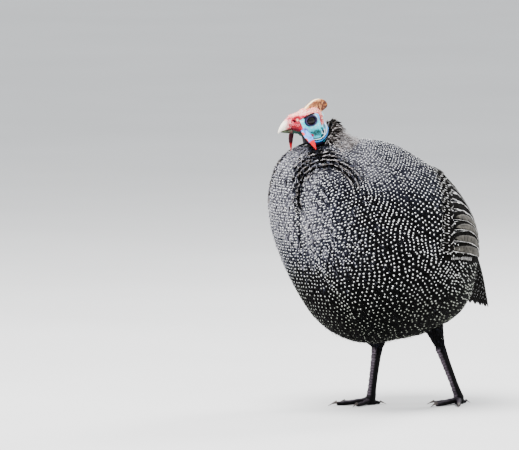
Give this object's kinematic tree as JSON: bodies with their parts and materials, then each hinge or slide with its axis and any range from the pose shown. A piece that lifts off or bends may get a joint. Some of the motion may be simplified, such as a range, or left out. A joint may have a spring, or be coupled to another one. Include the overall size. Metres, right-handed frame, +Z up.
{
  "type": "guinea fowl model",
  "caption": "Helmeted guinea fowl standing at rest with fluffed spotted plumage and drawn-in neck, as a life-size still model",
  "frame": {"origin": "on the floor under the middle of the bird's bounding box", "axes": "+Z up, the bird faces -Y, its left side is on +X"},
  "size_m": [0.2472, 0.3242, 0.4136],
  "materials": {
    "plumage": "matte",
    "flight_feathers": "matte",
    "face_skin": "satin",
    "wattle_skin": "satin",
    "casque_horn": "satin",
    "bill_horn": "satin",
    "eye": "polished",
    "leg_skin": "satin",
    "claw_horn": "satin"
  },
  "bodies": {
    "root": {"torso": "plumage", "neck": "plumage", "tail": "flight_feathers", "wing_left": "flight_feathers", "wing_right": "flight_feathers", "head": "face_skin", "casque": "casque_horn", "bill_upper": "bill_horn", "bill_lower": "bill_horn", "eye_left": "eye", "wattle_left": "wattle_skin", "eye_right": "eye", "wattle_right": "wattle_skin", "thigh_left": "plumage", "tarsus_left": "leg_skin", "foot_left": "leg_skin", "claw_left_inner": "claw_horn", "claw_left_middle": "claw_horn", "claw_left_outer": "claw_horn", "claw_left_hind": "claw_horn", "thigh_right": "plumage", "tarsus_right": "leg_skin", "foot_right": "leg_skin", "claw_right_inner": "claw_horn", "claw_right_middle": "claw_horn", "claw_right_outer": "claw_horn", "claw_right_hind": "claw_horn"}
  },
  "joints": []
}
